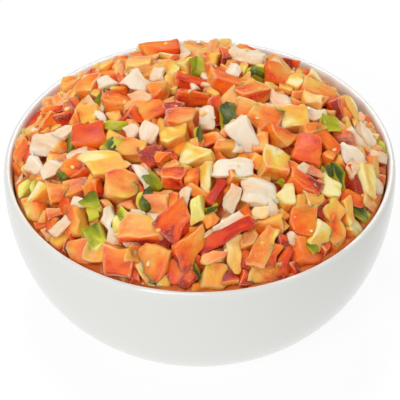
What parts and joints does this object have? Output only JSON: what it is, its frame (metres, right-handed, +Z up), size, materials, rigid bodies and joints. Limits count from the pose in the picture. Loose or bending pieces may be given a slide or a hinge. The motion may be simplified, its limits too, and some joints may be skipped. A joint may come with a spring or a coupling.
{
  "type": "bowl of pico de gallo",
  "caption": "White glazed bowl filled above its rim with a heap of diced tomato, white onion and green chilli, for serving as a dip or starter.",
  "frame": {"origin": "on the bowl's axis, in the plane that its foot ring stands on", "axes": "+Z up along the bowl's axis; the side that the picture shows nearest faces -Y"},
  "size_m": [0.1596, 0.1596, 0.1028],
  "materials": {
    "porcelain": "smooth white glaze",
    "diced_vegetables": "wet, cut vegetable flesh and skins"
  },
  "bodies": {
    "root": {"bowl": "porcelain", "pico_de_gallo_heap": "diced_vegetables"}
  },
  "joints": []
}
